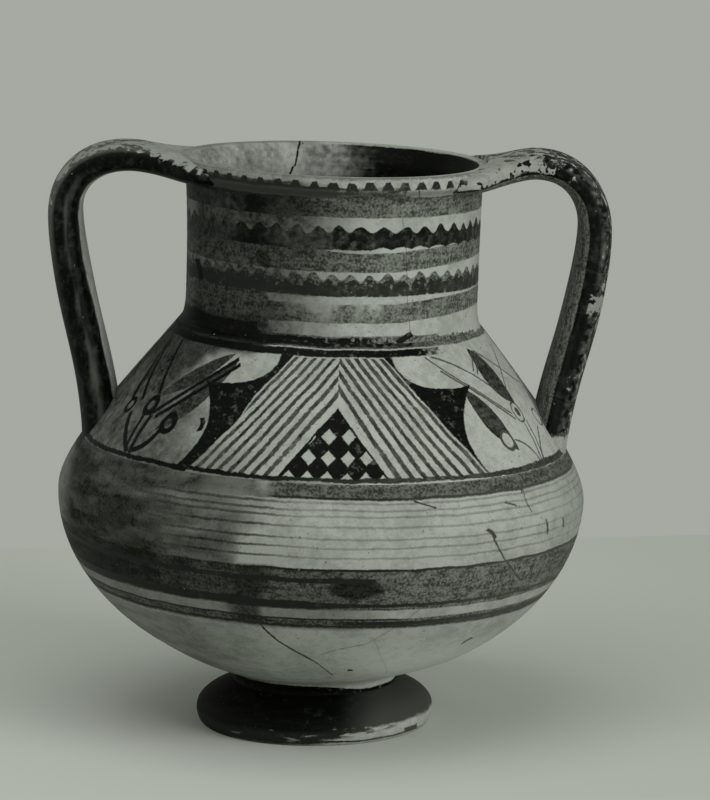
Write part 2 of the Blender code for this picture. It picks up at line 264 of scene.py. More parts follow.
def fired(name, brushwork, gloss=0.5, brushed=(0.22, 0.22, 1.6)):
    """Fired clay under slip. The brushwork gives the depth in millimetres inside dense and thin
    paint, how far fire or dirt darkened the clay together with painted shade, or paled it with
    painted light where that is below 0, and how far the dense paint is paler: mostly faded, in
    places painted light and painted highlights."""
    material = bpy.data.materials.new(name)
    material.use_nodes = True
    tree = material.node_tree
    start = Slip(tree)
    true_place = start.node("Attribute", {"attribute_name": "upright"}, {}, "Vector")
    inner = start.node("Attribute", {"attribute_name": "inner"}, {}, "Fac")
    waver = true_place.noise(17.0, 1.0, outlet="Color")
    ragged = true_place.noise(1.7, 2.0, outlet="Color")
    place = true_place.moved(1.5, waver).moved(0.9, ragged)
    dense, thin, burn_and_painted_light, paler_paint = brushwork(place, inner)
    cloud = true_place.noise(24.0, 3.0)
    grain = true_place.noise(1.2, 3.0)
    blotch = true_place.noise(4.5, 4.0)
    streak = true_place.noise(3.0, 3.0, brushed)
    speck = true_place.noise(1.9, 1.0)
    worn = (blotch + (cloud - 0.5) * 0.5 + (grain - 0.5) * 0.5).ease(0.60, 0.74)
    dense_cover = dense.ease(-0.3, 0.3) * (1 - worn * 0.18)
    thin_cover = thin.ease(-0.35, 0.35)
    dirt = (blotch * 0.5 + cloud * 0.5 + (grain - 0.5) * 0.35).ease(0.38, 0.66)
    clay = dirt.tint(tone(165), tone(145))
    clay = speck.ease(0.70, 0.82).tint(clay, tone(92))
    # Below 0 the clay is paled: painted light. Above 0 it darkens: fire, dirt and painted shade.
    clay = (-burn_and_painted_light).tint(clay, tone(205))
    clay = burn_and_painted_light.tint(clay, (dirt + (grain - 0.5) * 1.6).tint(tone(54), tone(19)))
    patchy = (streak * 0.5 + grain * 1.1 + blotch * 0.6 - 0.70).ease(0.16, 0.64)
    thin_coat = patchy.tint(tone(56), tone(120))
    thin_coat = burn_and_painted_light.tint(thin_coat, patchy.tint(tone(12), tone(40)))
    dense_coat = (streak * 0.5 + grain * 0.5).ease(0.38, 0.72).tint(tone(6), tone(24))
    # Paler dense paint: mostly fading, in places painted light and painted highlights.
    dense_coat = paler_paint.tint(dense_coat, tone(98))
    colour = dense_cover.tint(thin_cover.tint(clay, thin_coat), dense_coat)
    loss = (true_place.noise(1.6, 0.0) + (grain - 0.5) * 0.25).ease(0.87, 0.90)
    colour = (loss * dense_cover.most(thin_cover) * 0.7).tint(colour, tone(130))
    covered = dense_cover.most(thin_cover * 0.6)
    relief = grain * 0.5 + streak * 0.4 + covered * 0.25 - speck.ease(0.70, 0.82) * 0.5
    normal = start.node("Bump", {}, {"Strength": 0.6, "Distance": 0.00025, "Height": relief}, "Normal")
    shader = tree.nodes["Principled BSDF"]
    tree.links.new(colour.socket, shader.inputs["Base Color"])
    rough = 0.78 - covered * (0.78 - gloss) + (grain - 0.5) * 0.2
    tree.links.new(rough.socket, shader.inputs["Roughness"])
    tree.links.new(normal.socket, shader.inputs["Normal"])
    shader.inputs["Specular IOR Level"].default_value = 0.08
    return material


def foot_paint(place, inner):
    """Dark all over and darker towards the left. The slip is paler on the upper right, partly
    chafed and partly painted light where the slope faces the lamp, and a little towards the
    edge. The standing edge is worn to the clay, more so to the right, where a thin line of slip
    and one spot are left on it."""
    x = place.dot((1, 0, 0))
    height = place.dot((0, 0, 1))
    scuff = place.swing(4.0, 4.0, (0.3, 0.3, 1.4))
    worn = (6.0 + (x - 26) * 0.11 + scuff * 1.5 - height).least((x - 4 + scuff * 14) * 0.3)
    worn = worn.most((8.6 - height).least(scuff * 8 - 1.0 + (x + 6) * 0.04))
    worn = worn.most((1.4 - height).least((x + 44 + scuff * 9) * 0.2))
    base_line = (0.5 - abs(height - 2.0 + scuff * 0.4)).least((52 - x) * 0.1)
    spot = height.near(2.8, 1.5).least(x.near(48, 3.2))
    dense = (-worn).most(base_line).most(spot)
    # Paler slip: partly chafed, partly painted light on the upper right, which faces the lamp. Below,
    # the foot is darker towards the left.
    chafe_and_painted_light = (x - 10).rise(26) * 0.40 + (9 - height).rise(4) * 0.12
    left_darkening = (10 - x).rise(30) * 0.7
    thin = 0.4 - worn * 0.5
    burn_and_painted_light = inner * 0.3 + left_darkening.most((-worn).rise(1) * 0.75)
    return dense, thin, burn_and_painted_light, chafe_and_painted_light


def foot_outline():
    """Down the flaring side and the edge, in over the standing ring, and up under the hollow."""
    widest = (FOOT_RADIUS, FOOT_EDGE_HEIGHT)
    slope = bezier((STEM_RADIUS, FOOT_HEIGHT), (49.39, 18.31), (FOOT_RADIUS, 14.98), widest, 20)
    edge = bezier(widest, (FOOT_RADIUS, 3.5), (58.0, 0.88), (RING_OUTSIDE, 0.0), 10)
    hollow = bezier((RING_INSIDE, 0.0), (38.5, 9.0), (24.05, FOOT_HOLLOW), (1.0, FOOT_HOLLOW), 16)
    outside = np.concatenate((FOOT_TOP, slope, edge[1:], [(52.4, 0.0)]))
    return outside, np.concatenate((hollow, [(0.0, FOOT_HOLLOW)]))


turned("foot_ring", *foot_outline(), fired("foot_slip", foot_paint, 0.66), "dark_paint", "foot")

# The bowl: the round lower body, from the stem up past the widest circle to the shoulder seam.
# Thrown buff clay, banded on the wheel with a loaded brush: hair lines above, broad bands
# below, bare clay under them. Old breaks are mended and show as hair cracks.

STEM_TOP = 25.0
BELLY_HEIGHT = 116.5
BELLY_RADIUS = 130.6
BOWL_TIP = 22.0
BOWL_FULLNESS = 1.96
WALL = 6.0
NECK_BASE_HEIGHT = 202.0
NECK_BASE_RADIUS = 74.2
NECK_RADIUS = 72.0
NECK_TOP_RADIUS = 73.0
SHOULDER_SEAM = 142.5
RIM_SEAM = 270.0
FAR_OFF = 900
HAIR_LINES = (134.2, 131.0, 128.2, 123.7, 118.3, 114.0, 109.3)
SEAM_BAND = (135.6, 142.6)
UPPER_BAND = (82.4, 103.8)
LOWER_BAND = (72.0, 77.7)

# Cracks and scratches as start, end, bow and half width, across and up the front.
BOWL_CRACKS = (
    ((-38, 84), (-24, 70.5), 0.0, 0.3),
    ((-25, 71), (0, 51), -0.8, 0.45),
    ((0, 51), (9, 40.5), 0.3, 0.3),
    ((81, 119), (98, 91), -1.0, 0.4),
    ((28, 66), (35, 40), 1.0, 0.0),
    ((3, 55.5), (25, 63), 0.8, 0.1),
    ((25, 63), (50, 83), -0.6, 0.05),
    ((79, 120.5), (83.5, 115.5), 0.6, 0.8),
    ((43, 135.5), (54, 131.5), 0.0, 0.35),
    ((87, 131), (93, 129), 0.0, 0.35),
    ((96, 136), (101, 125), -0.6, 0.2),
    ((71, 57), (76, 60), 0.5, 0.5),
    ((16, 44.5), (18.5, 44.2), 0.3, 0.6),
    ((108.5, 120), (109.5, 112.5), 0.3, 0.35),
    ((117.5, 118), (118, 113), 0.0, 0.3),
    ((94.5, 139.5), (95.5, 134), 0.3, 0.4),
)


def stroke(flat, start, end, bow, half):
    """How deep a flat place lies inside a brush line from start to end, whose middle bows
    sideways as a parabola. The flat place holds across, up and 1."""
    run = np.subtract(end, start)
    length = float(np.hypot(*run))
    ahead = run / length
    aside = np.array((-ahead[1], ahead[0]))
    along = flat.dot((*(ahead / length), -float(ahead @ start) / length))
    off = flat.dot((*aside, -float(aside @ start)))
    spare = 1 - along
    if bow:
        off = off - along * spare * (4 * bow)
    return (half - abs(off)).least(along.least(spare) * length)


def strokes(flat, lines):
    """How deep a flat place lies inside any of several brush lines."""
    depth = stroke(flat, *lines[0])
    for line in lines[1:]:
        depth = depth.most(stroke(flat, *line))
    return depth


def front_place(place, behind=False):
    """Across, up and 1 on the front wall, or on the far wall, and far off on the other."""
    x, y, height = (place.dot(axis) for axis in AXES)
    other = (y < 0) if behind else (y > 0)
    return place.node("CombineXYZ", {}, {0: x + other * FAR_OFF, 1: height, 2: 1.0})


def bowl_side(radius, depth, count):
    """A quarter ellipse, a hair slimmer: r = R sin(a)^p and h = H - D cos(a)^p, where p is 2
    over the fullness, a little more than 1."""
    angle = np.linspace(0, np.pi / 2, count)
    power = 2 / BOWL_FULLNESS
    rise = BELLY_HEIGHT - depth * np.cos(angle).clip(0) ** power
    return np.column_stack((radius * np.sin(angle) ** power, rise))


def upper_side():
    """The outside from the widest circle over the shoulder, round the bend and up the neck."""
    widest = (BELLY_RADIUS, BELLY_HEIGHT)
    neck_base = (NECK_BASE_RADIUS, NECK_BASE_HEIGHT)
    bend_top = (NECK_RADIUS, 214.0)
    neck_top = (NECK_TOP_RADIUS, RIM_SEAM)
    shoulder = bezier(widest, (BELLY_RADIUS, 132.5), (106.2, 162.6), neck_base, 220)
    bend = bezier(neck_base, (72.88, 203.63), (NECK_RADIUS, 208.0), bend_top, 24)
    neck = bezier(bend_top, (NECK_RADIUS, 232.67), (NECK_RADIUS, 251.33), neck_top, 60)
    return np.concatenate((shoulder, bend[1:], neck[1:]))


def inset(side, distance):
    """The same side moved square to itself, towards the inside of the wall."""
    run = np.gradient(side, axis=0)
    run /= np.linalg.norm(run, axis=1)[:, None]
    return side + np.column_stack((-run[:, 1], run[:, 0])) * distance


def length_of(side, low, high, spacing):
    """The stretch of a side between two heights, its points evenly spaced along it."""
    heights = side[:, 1]
    kept = side[(heights > low + 0.01) & (heights < high - 0.01)]
    ends = [(np.interp(height, heights, side[:, 0]), height) for height in (low, high)]
    chain = np.concatenate((ends[:1], kept, ends[1:]))
    along = np.concatenate(([0.0], np.cumsum(np.linalg.norm(np.diff(chain, axis=0), axis=1))))
    places = np.linspace(0, along[-1], max(int(along[-1] / spacing), 2) + 1)
    return np.column_stack([np.interp(places, along, chain[:, axis]) for axis in (0, 1)])


def bowl_paint(place, inner):
    """Hair lines over bare clay, two broad bands with darker edges, a dark stain and a scorched
    patch on them, and on the left the fire's shadow, which turned the clay dark and left the
    hair lines standing out. Painted shade darkens the clay slightly towards the left and at the
    right edge, painted light makes the lower right and the far left edge paler, and the bottom
    is darker towards the left."""
    x = place.dot((1, 0, 0))
    height = place.dot((0, 0, 1))
    flat = front_place(place)
    blaze = place.swing(20.0, 2.0)
    smoke = place.swing(7.0, 3.0, (0.22, 0.22, 1.0))
    lines = abs(height - HAIR_LINES[0])
    for line in HAIR_LINES[1:]:
        lines = lines.least(abs(height - line))
    above = (height - 114).rise(12)
    left = ((-x - 33 + above * 15 + blaze * 6) / (10 + above * 16)).rise(1)
    deep = (-x - 58 + blaze * 16 + smoke * 6).rise(26)
    left = left * (height - 83).ease(-1.5, 2.0)
    hair = (0.95 + left * 0.30 - lines).rise(0.8) * (height - 107).rise(1)
    hair = hair * (0.42 + (-x).ease(4.0, 38.0) * 0.50 + smoke * 0.16)
    burn_and_painted_light = (left * (0.74 + deep * 0.22 + smoke * 0.35 + blaze * 0.15)).least(1.0)
    # Painted shade: the clay darkens a little towards the left, where the wall turns from the lamp.
    burn_and_painted_light = burn_and_painted_light.most(hair).most((20 - x + blaze * 14).rise(40) * 0.16)
    burn_and_painted_light = burn_and_painted_light.most(smoke * 0.06 + 0.07)
    seared = (-x - 22 + blaze * 7).rise(9)
    seared = seared * (0.72 + (-x - 40).rise(50) * 0.18 + smoke * 0.2)
    burn_and_painted_light = burn_and_painted_light.most(seared * (height - 135).rise(0.8))
    band_right = (x + 25 + blaze * 7 + smoke * 4) * 0.12
    thin = height.within(*SEAM_BAND).least(band_right)
    thin = thin.most(height.within(*UPPER_BAND)).most(height.within(*LOWER_BAND))
    in_bands = (104 - height).rise(0.6)
    burn_and_painted_light = burn_and_painted_light.most(in_bands * (62 - x + blaze * 20).rise(60) * 0.5)
    stain = 1.3 - ((x - 18) / 13) ** 2 - ((height - 93.5) / 5.5) ** 2 + smoke * 0.8
    stain = stain.ease(-0.3, 0.9)
    scorch = (-x - 16 + blaze * 9).rise(12) * (x + 48 + blaze * 9).rise(12)
    scorch = scorch * height.within(71.5, 106).rise(3)
    burn_and_painted_light = burn_and_painted_light.most(stain * 0.95).most(scorch * 0.9)
    burn_and_painted_light = burn_and_painted_light * (1 - (LOWER_BAND[0] - height).rise(2) * 0.72)
    # Darker towards the bottom and the left, below the lower band.
    low_left_darkening = (12 - x - height * 0.5 + blaze * 24).ease(-20.0, 50.0)
    low_left_darkening = low_left_darkening * (LOWER_BAND[0] - height).rise(2)
    # Painted shade: darker towards the right edge, where the wall turns edge-on to the light.
    burn_and_painted_light = burn_and_painted_light.most(low_left_darkening * (0.52 + smoke * 0.35)).most((x - 96).rise(24) * 0.22)
    burn_and_painted_light = burn_and_painted_light.most(height.within(135.6, 142.0).rise(0.5) * 0.40)
    # Painted light: the far left edge is paler, a rim of light from behind.
    burn_and_painted_light = burn_and_painted_light * (1 - (-x - 120).rise(8) * 0.4)
    # Painted light: the lower right is paler, as if lit from the floor.
    burn_and_painted_light = burn_and_painted_light - (68 - height).rise(22) * (x + 6 + blaze * 12).rise(50) * 0.6
    low_edge = 0.8 + (46 - x + blaze * 8).rise(60) * 1.2 + smoke * 0.3
    dense = height.near(103.3, 0.65).least(1.5 + x * 0.05).most(height.near(85.0, low_edge))
    dense = dense.most(height.near(136.4, 0.5).least(band_right))
    dense = dense.most(height.near(73.3, 0.55))
    dense = dense.most((height.near(97.8, 1.3) + smoke * 0.6).least((27 - x + blaze * 8) * 0.1))
    dense = dense.most(height.near(75.0, 1.1).least((x - 12 + blaze * 10) * 0.1))
    dense = dense.most(height.near(77.2, 0.4).least((40 - x) * 0.1))
    dense = dense.most(26.8 - height - (x - 2).rise(24) * 3.5)
    cracks = strokes(flat, BOWL_CRACKS)
    outside = 1 - inner
    paler_paint = (0.1 + (x - 30).rise(60) * 0.3) * (height - 28).rise(1)
    return dense.most(cracks) - inner * 9, thin - inner * 9, burn_and_painted_light * outside + inner * 0.25, paler_paint


stem = np.array([*FOOT_TOP, (STEM_RADIUS, FOOT_HEIGHT), (STEM_RADIUS, STEM_TOP)])
bowl = bowl_side(BELLY_RADIUS, BELLY_HEIGHT - BOWL_TIP, 200)
bowl = np.concatenate((stem, bowl[bowl[:, 0] > STEM_RADIUS + 3]))
outer_side = np.concatenate((bowl, upper_side()[1:]))
hollow_bowl = bowl_side(BELLY_RADIUS - WALL, BELLY_HEIGHT - BOWL_TIP - WALL, 80)
inner_side = np.concatenate((hollow_bowl, inset(upper_side(), WALL)[1:]))
bowl_outside = np.concatenate((stem[:3], length_of(outer_side[3:], STEM_TOP, SHOULDER_SEAM, 2.2)))
bowl_inside = length_of(inner_side, BOWL_TIP + WALL + 0.2, SHOULDER_SEAM, 6.0)[::-1]
bowl_inside = np.concatenate((bowl_inside, [(0.0, BOWL_TIP + WALL)]))
bowl_slip = fired("banded_bowl", bowl_paint)
turned("bowl_wall", bowl_outside, bowl_inside, bowl_slip, "banded_clay", "belly")

# The shoulder: the sloping band between the bowl and the neck, where the painter worked free
# hand: a tent of nested lines over a chequered peak, two hooked blades, and a spray of budding
# stems by each handle. The same picture is painted on the back.

TENT_AXIS = 5.0
CHART_RADIUS = 105.0
BORDER_HEIGHT = 144.0
CHEQUER_PLACE = (1.8, 153.4)
CHEQUER_SIZE = (9.1, 9.2)
PALE_BUD = (97.6, 156.6)


def away_from(flat, middle):
    """How far a flat place is from a middle."""
    ends = {0: flat, 1: (*middle, 1.0)}
    return flat.node("VectorMath", {"operation": "DISTANCE"}, ends, "Value")


def round_bud(flat, middle, size, half):
    """How deep a flat place lies in the painted ring round a bud."""
    return away_from(flat, middle).near(size, half)


def leaf(flat, tip, heel, half):
    """How deep a flat place lies in a leaf, whose half width is a parabola of its length."""
    run = np.subtract(heel, tip)
    length = float(np.hypot(*run))
    ahead = run / length
    aside = (-ahead[1], ahead[0])
    along = flat.dot((*(ahead / length), -float(ahead @ tip) / length))
    off = flat.dot((*aside, -float(np.dot(aside, tip))))
    return along * (1 - along) * (4 * half) - abs(off)


# The sprays' strokes as start, end, bow and half width, in millimetres round the wall from
# the front and up it, and their leaves as tip, heel and half width.
SPRAY_STROKES = (
    ((119.8, 162.6), (116.8, 144.5), 0.5, 0.42),
    ((123.7, 162.7), (119.0, 144.0), 0.5, 0.42),
    ((132.6, 158.5), (118.5, 145.0), -1.2, 0.42),
    ((103.0, 156.3), (116.0, 144.5), 2.4, 0.45),
    ((72.0, 189.2), (113.8, 164.0), 1.0, 0.50),
    ((64.8, 195.1), (113.0, 166.7), 0.4, 0.42),
    ((69.4, 195.2), (118.9, 172.0), 3.4, 0.42),
    ((108.9, 195.7), (99.6, 187.1), 0.0, 0.40),
    ((112.5, 195.4), (102.0, 185.9), 0.0, 0.40),
    ((112.2, 195.4), (151.2, 176.0), 0.5, 0.42),
    ((148.0, 194.8), (119.3, 173.7), -1.0, 0.38),
    ((164.9, 187.1), (141.6, 158.6), 2.0, 0.42),
    ((-98.5, 145.5), (-114.5, 161.0), 0.8, 0.75),
    ((-100.0, 146.0), (-101.9, 161.1), 0.5, 0.55),
    ((-96.3, 145.4), (-96.6, 162.0), 0.7, 0.75),
    ((-122.0, 166.0), (-134.9, 193.2), 0.6, 0.60),
    ((-112.4, 167.7), (-134.3, 194.6), 0.6, 0.60),
    ((-101.3, 171.9), (-116.7, 195.2), 0.6, 0.60),
    ((-97.8, 162.6), (-58.7, 192.1), 0.8, 0.55),
    ((-93.0, 162.4), (-56.1, 189.8), 0.4, 0.55),
    ((-84.4, 158.6), (-95.7, 146.6), 2.2, 0.90),
    ((-63.7, 165.3), (-62.5, 160.4), 0.8, 0.80),
)
BUDS = (
    ((119.4, 166.6), 4.3, 0.45),
    ((119.6, 166.6), 1.0, 1.0),
    ((140.5, 161.8), 3.8, 0.40),
    (PALE_BUD, 4.0, 0.80),
    ((-119.5, 163.5), 3.0, 0.60),
    ((-101.3, 166.3), 3.6, 1.0),
    ((-82.0, 161.0), 3.6, 0.95),
)
LEAVES = (
    ((83.0, 181.0), (102.5, 151.5), 5.8),
    ((106.0, 197.0), (122.5, 170.0), 7.6),
    ((-128.5, 184.0), (-123.0, 165.0), 2.6),
    ((-58.0, 191.5), (-88.5, 156.5), 5.2),
    ((-62.0, 194.5), (-102.0, 170.0), 4.2),
)


def shoulder_paint(place, inner):
    """The painted frieze. A place's height and distance from the tent's axis give the peak of
    the nested line through it, and a parabola of that counts the lines. Each blade lies
    between the last line and an ellipse. The sprays lie in a chart of turn and up. The back
    has the same picture, turned half round. Soot darkens the left and the top."""
    x, y, height = (place.dot(axis) for axis in AXES)
    mottle = place.swing(3.5, 3.0)
    wander = place.swing(15.0, 2.0)
    across = -x * y.sign()
    away = abs(across - TENT_AXIS)
    right = across > TENT_AXIS
    peak_right = (height + away * 2.874) / (1 + away * 0.0088)
    peak_left = (height + away * 1.613) / (1 + away * 0.0027)
    peak = peak_left + (peak_right - peak_left) * right
    step = peak - 174 - right * 1.5
    line = step * (0.1334 - right * 0.0253) + step * step * (0.001317 + right * 0.00112)
    wave = abs(line.fract() - 0.5)
    heavy = (height - 176).rise(16) * right * 0.06
    tent = (wave - 0.27 + heavy + mottle * 0.11 + wander * 0.06) * 4.4
    tent = tent - (mottle * 2.2 - 0.35).most(0.0)
    tail = (178 - height).rise(14) * (1 - right) * 0.8
    tent = tent.least((line - 0.5) * 3).least((8.3 - tail - line) * 3)
    tent = tent.least(195.6 - height).least(height - BORDER_HEIGHT)
    cell_across = across.off_nearest(CHEQUER_PLACE[0], CHEQUER_SIZE[0])
    cell_up = height.off_nearest(CHEQUER_PLACE[1], CHEQUER_SIZE[1])
    chequer = (cell_across + cell_up - 0.37 + wander * 0.03) * 6.5
    inside_peak = 175.0 - peak + (175 - height) * right * 0.11
    chequer = chequer.most(height - 168.0).most(1.4 - inside_peak)
    peak_paint = chequer.least(inside_peak * 0.8).least((height - 143.2) * 2)
    arm_away = (away - 57.0 + right * 1.0) / (29.0 + right * 2.0)
    arm = arm_away * arm_away + ((height - 197.0) / 15.7) ** 2
    bay = 60.6 + (height - 170.5) * (height - 170.5) * 0.021 - away
    blade = ((line - 8.45 + tail) * 3).least((arm - 1.0) * 12).least(bay).least(196.4 - height)
    turn = (-x / y).arctangent()
    flat = place.node("CombineXYZ", {}, {0: turn * CHART_RADIUS, 1: height, 2: 1.0})
    spray = strokes(flat, SPRAY_STROKES)
    for bud in BUDS:
        spray = spray.most(round_bud(flat, *bud))
    leaves = leaf(flat, *LEAVES[0])
    for one_leaf in LEAVES[1:]:
        leaves = leaves.most(leaf(flat, *one_leaf))
    leaves = leaves.least(away_from(flat, PALE_BUD) - 3.6)
    border = height.near(BORDER_HEIGHT, 1.0) + wander * 0.3 + (x - 78).rise(20) * 0.5
    top = height.within(196.0, 199.2).least((50 - x + mottle * 16) * 0.06)
    top = top - (mottle * 1.6 - 0.5).most(0.0)
    top = top.most((height - 200.4).least(0.9 - mottle * 3 - wander - (x - 5).rise(50) * 2.6))
    border = border + mottle * 0.6
    dense = peak_paint.most(blade).most(border).most(top)
    soot = (-across - 56 + (height - 186) * 1.5 + wander * 12).rise(14)
    soot = soot * (height - 171 + wander * 8).rise(14)
    haze = (-across - 42 + wander * 10).rise(38)
    haze = haze * (0.80 + (height - 165) * 0.004 + mottle * 0.3 + wander * 0.3)
    low_haze = (-across - 18 + wander * 10).rise(30) * (162 - height).rise(12)
    haze = haze.most(low_haze * 0.42)
    drips = (-x - 34 + (height - 195) * 2 + wander * 10).rise(12) * (height - 192).rise(5)
    burn_and_painted_light = (soot * 0.92).most(haze).most(drips).most(leaves.ease(-0.3, 0.3) * (0.76 + mottle * 0.2))
    only_lines = 1 - dense.ease(-0.4, 0.1)
    paler_paint = tent.ease(-0.5, 0.2) * only_lines * (0.38 + mottle * 0.7 + wander * 0.45)
    paler_paint = paler_paint.most(spray.ease(-0.5, 0.1) * only_lines * (right * 0.45))
    paler_paint = paler_paint.most(border.ease(-0.3, 0.3) * (x + 50).rise(130) * (0.28 + mottle * 0.5))
    burn_and_painted_light = burn_and_painted_light.most((145 - height).rise(1) * (30 - x).rise(60) * 0.6)
    lines = dense.most(tent.most(spray + (1 - right) * 0.45))
    worn_band = (height - 199.8).least(1.2 - mottle * 1.3)
    burn_and_painted_light = burn_and_painted_light.most((height - 199.5).rise(0.5) * (0.66 - (x - 30).rise(30) * 0.5))
    outside = 1 - inner
    return lines - inner * 9, worn_band.most(leaves) - inner * 9, burn_and_painted_light * outside + inner * 0.25, paler_paint


shoulder_outside = length_of(outer_side, SHOULDER_SEAM, NECK_BASE_HEIGHT, 1.0)
shoulder_inside = length_of(inner_side, SHOULDER_SEAM, NECK_BASE_HEIGHT, 6.0)[::-1]
shoulder_slip = fired("painted_shoulder", shoulder_paint)
turned("shoulder_wall", shoulder_outside, shoulder_inside, shoulder_slip, "pale_clay", "shoulder")

# The neck: a tall straight collar. Thrown with the wall and banded like the bowl: three grey
# bands and two rows of black teeth between them, over pale clay.

TOP_BAND = (262.2, 290.0)
FIRST_TEETH_FOOT = 246.8
SECOND_TEETH_FOOT = 224.4

# Cracks and stains as start, end, bow and half width, across and up the front or far wall.
NECK_MARKS = (
    ((32.0, 202.0), (39, 206.2), 0.0, 1.5),
    ((33, 262), (36, 225), 0.6, 0.08),
    ((36, 225), (38, 206), 0.0, 0.08),
    ((-66, 234), (-63.5, 224.5), 0.3, 1.3),
)
INNER_CRACK = ((-20.4, 271), (-24.5, 255), -1.0, 0.55)


def inside_wall(place, x, y, blaze, mottle):
    """The wall inside the mouth: how deep a place lies in the black on the right, partly a
    stain and partly a painted shadow under the rim, and how dark the mottled clay is, under a
    painted shade that deepens to the right, with a paler streak on the left."""
    rings = place.swing(4.5, 2.0, (0.06, 0.06, 1.0))
    # The black: partly a stain, partly a painted shadow on the right wall. The shade: painted shade
    # over the wall, deepest on the right, mottled with stain.
    black = (x + y * 0.2 - 30 + blaze * 12 + mottle * 12 + rings * 20) * 0.035
    shade = (x + 8 + blaze * 16 + mottle * 12 + rings * 10).ease(-10.0, 22.0) * 0.9
    clean = (1.2 - ((x + 22) / 7) ** 2).most(0.0) * 0.25
    shade = shade.most((0.34 + mottle * 0.5 + rings * 0.3 + blaze * 0.2 - clean).least(0.8))
    return black, shade


def neck_paint(place, inner):
    """Three thin bands and two rows of teeth, the bands rising a little to the right, darkened
    nearly black on the left by burning; the teeth's tops are cosines of the turn, their feet
    straight or sagging. Inside, a mottled wall under painted shade, black on the right, partly
    stain and partly a painted shadow, with the crack in it."""
    x, y, height = (place.dot(axis) for axis in AXES)
    turn = (-x / y).arctangent()
    mottle = place.swing(3.0, 3.0)
    blaze = place.swing(18.0, 2.0)
    low = height - ((x - 30) * 0.08).most(0.0)
    uneven = (place.noise(11.0, 1.0) - 0.5) * 7
    spread = turn - (turn - 0.15).rise(0.4) * 0.06 + (turn - 0.95).rise(0.3) * 0.06
    first_teeth = (spread * 45.2 + 4.47).cosine()
    second_teeth = (turn * 50.0).cosine()
    sag = abs((turn * 21.0 + 1.0).sine()) * (x - 10).rise(15)
    first = height - FIRST_TEETH_FOOT - sag * 1.3
    first = first.least(256.2 + first_teeth * 1.7 + uneven * 0.7 - height)
    second = (height - SECOND_TEETH_FOOT).least(232.6 + second_teeth * 1.3 + uneven * 0.5 - height)
    second = second.least((231.7 - height - mottle * 7) * 0.7)
    second = second - (mottle * 9 + blaze * 5 - 1.2).most(0.0)
    ghost = (height - SECOND_TEETH_FOOT).least(233.9 + second_teeth * 1.5 + uneven * 0.5 - height)
    bared = (x + 30).rise(14) * (30 - x).rise(12)
    bared = bared * (blaze * 0.9 + 0.30 + (height - 216) * 0.05)
    lower_band = low.within(211.4, 220.6).least(0.35 - bared - mottle * 0.5)
    middle_top = 245.4 + (4 - x + blaze * 9).rise(12) * 1.8
    thin = height.within(*TOP_BAND).most((low - 236.0).least(middle_top - low)).most(lower_band)
    thin = thin.most(ghost - (mottle * 2 - 0.6).most(0.0))
    thin = thin.most(205.3 - height - (mottle * 2.4 + (x - 50) * 0.12).most(0.0))
    thin = thin.most(height.within(224.0, 240.0).least((blaze * 12 - 8 - x) * 0.05).least(mottle * 0.8))
    thin = thin.most(height.within(205.0, 226.0).least((blaze * 12 - 30 - x) * 0.3))
    flat = front_place(place)
    marks = strokes(flat, NECK_MARKS)
    far = front_place(place, behind=True)
    marks = marks.most(stroke(far, *INNER_CRACK))
    spent = (x - 5).rise(50) * 2.6
    marks = marks.most((204.6 - height).least(0.9 - mottle * 3 - blaze * 1.5 - spent))
    marks = marks.most((210 - height + blaze * 3).least(-x - 34 + blaze * 8 + mottle * 4) * 0.3)
    dense = (first - (mottle * 1.5 - 0.7).most(0.0)).most(second)
    dense = dense.most(height.within(*TOP_BAND).least((blaze * 14 + mottle * 9 - 24 - x) * 0.05))
    left = (-x + (height - 208) * 0.2 + blaze * 7).ease(-18.0, 36.0)
    depth = 0.72 + (height - 240).rise(16) * 0.21
    depth = depth + (216 - height).rise(8) * 0.16 + mottle * 0.22
    left = left * (1 - (-x - 64).rise(6) * 0.5) * depth
    outside = 1 - inner
    # Inside: painted shade and stain on the wall, and the black on the right, partly a painted shadow.
    black, shade = inside_wall(place, x, y, blaze, mottle)
    paler_paint = (240 - height).ease(-2.0, 2.0) * 0.12 + (x - 40).rise(30) * 0.1
    weak = (x + 38 + mottle * 9).rise(22) * (10 - x + mottle * 9).rise(20)
    weak = weak.most((-x - 40 + blaze * 12 + mottle * 9).rise(14) * 0.8)
    paler_paint = paler_paint + weak * (height - 240).rise(2) * (0.26 + mottle * 0.5)
    paler_paint = paler_paint + (x + 12).rise(20) * (mottle + 0.10).most(0.0) * 0.5
    paler_paint = paler_paint * (1 - marks.rise(0.3))
    smoked = (42 - x + blaze * 10).rise(50) * 0.45 + (blaze * 10 - x).rise(30) * 0.5
    smoked = smoked * (height - 262).rise(1)
    drip = 1.3 - ((x + 33) / 6.5) ** 2 - ((height - 241) / 8) ** 2 + mottle
    burn_and_painted_light = left.most(smoked).most(drip.rise(1.2) * 0.95) * outside + inner * shade
    painted = dense.most(marks) * outside + inner * black.most(marks)
    return painted, thin - inner * 9, burn_and_painted_light, paler_paint * outside


neck_outside = length_of(outer_side, NECK_BASE_HEIGHT, RIM_SEAM, 1.2)
neck_inside = length_of(inner_side, NECK_BASE_HEIGHT, RIM_SEAM, 2.0)[::-1]
turned("neck_wall", neck_outside, neck_inside, fired("banded_neck", neck_paint), "banded_clay", "neck")

# The lip: a flat-topped collar turned out over the neck, its outer edge a narrow upright band.
# Pale clay with a row of dark humps on the band, chipped along its outer corner.

RIM_RADIUS = 77.3
MOUTH_RADIUS = 71.4
LIP_BAND_FOOT = 275.8
LIP_BAND_TOP = 280.5
LIP_CORNER_RADIUS = 75.8
BITES = 26
FAR_LIP_CRACK = ((-18.0, 284), (-20.5, 269.5), 0.6, 0.5)
NEAR_LIP_CRACK = ((41, 279), (41.2, 271), 0.0, 0.3)


